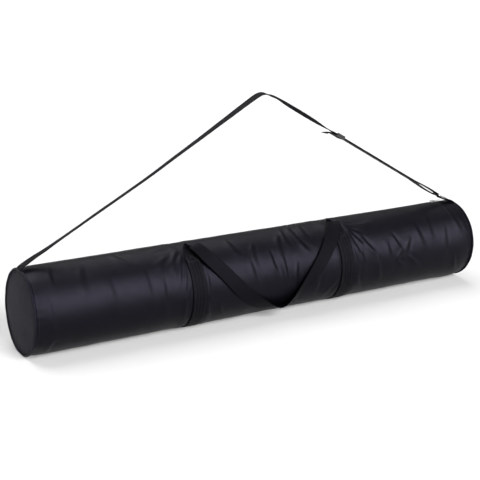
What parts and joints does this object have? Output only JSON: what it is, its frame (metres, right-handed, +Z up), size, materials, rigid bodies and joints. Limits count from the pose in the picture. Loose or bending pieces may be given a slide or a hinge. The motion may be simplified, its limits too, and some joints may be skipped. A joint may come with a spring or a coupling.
{
  "type": "drawing tube",
  "caption": "Long round soft tube for rolled drawings, closed by a lengthwise zip, with webbing handles and an adjustable shoulder strap.",
  "frame": {"origin": "on the floor, under the middle of the tube", "axes": "+X along the tube towards the closed end of the zip and the strap's ring, +Z up, front handle on the -Y side"},
  "size_m": [1.2128, 0.2073, 0.5356],
  "materials": {
    "outer_fabric": "matte",
    "end_fabric": "matte",
    "lining_fabric": "matte",
    "foam": "matte",
    "piping_fabric": "matte",
    "webbing": "matte",
    "zip_tape": "matte",
    "zip_coil": "satin",
    "zip_metal": "satin",
    "ring_metal": "polished",
    "buckle_plastic": "satin"
  },
  "bodies": {
    "bag": {"outer_shell": "outer_fabric", "foam_padding": "foam", "inner_lining": "lining_fabric", "left_end_panel": "end_fabric", "left_end_foam": "foam", "left_end_lining": "lining_fabric", "left_piping": "piping_fabric", "right_end_panel": "end_fabric", "right_end_foam": "foam", "right_end_lining": "lining_fabric", "right_piping": "piping_fabric", "zipper_tape_front": "zip_tape", "zipper_tape_back": "zip_tape", "zipper_coil_front": "zip_coil", "zipper_coil_back": "zip_coil", "zipper_stops": "zip_metal", "left_band": "webbing", "right_band": "webbing", "left_strap_end": "webbing", "ring_tab": "webbing"},
    "zip_slider": {"zipper_slider": "zip_metal"},
    "zip_puller": {"zipper_puller": "zip_metal"},
    "front_handle": {"front_handle": "webbing"},
    "back_handle": {"back_handle": "webbing"},
    "strap_ring": {"strap_ring": "ring_metal", "strap_ring_loop": "webbing"},
    "shoulder_strap": {"strap_left_run": "webbing", "strap_right_run": "webbing", "strap_return_run": "webbing"},
    "strap_slider": {"strap_slider": "buckle_plastic"}
  },
  "joints": [
    {"name": "zip_slide", "type": "slide", "parent": "bag", "child": "zip_slider", "axis": [-1, 0, 0], "range_m": [0, 1.12]},
    {"name": "puller_flip", "type": "hinge", "parent": "zip_slider", "child": "zip_puller", "pos_m": [0.56115, 0.02992, 0.19563], "axis": [0, -0.9563, 0.2924], "range_deg": [0, 180]},
    {"name": "front_handle_lift", "type": "hinge", "parent": "bag", "child": "front_handle", "pos_m": [0, -0.01786, 0.19904], "axis": [-1, 0, 0], "range_deg": [0, 160]},
    {"name": "back_handle_lift", "type": "hinge", "parent": "bag", "child": "back_handle", "pos_m": [0, 0.07145, 0.17173], "axis": [1, 0, 0], "range_deg": [0, 160]},
    {"name": "ring_tilt", "type": "hinge", "parent": "bag", "child": "strap_ring", "pos_m": [0.566, 0, 0.213], "axis": [0, 1, 0], "range_deg": [-6, 6]},
    {"name": "strap_swing", "type": "hinge", "parent": "bag", "child": "shoulder_strap", "pos_m": [-0.58, 0, 0.21175], "axis": [0.9996, 0, 0.0294], "range_deg": [-90, 90]},
    {"name": "strap_slider_slide", "type": "slide", "parent": "shoulder_strap", "child": "strap_slider", "axis": [0.8566, 0, -0.5159], "range_m": [0, 0.25]}
  ]
}
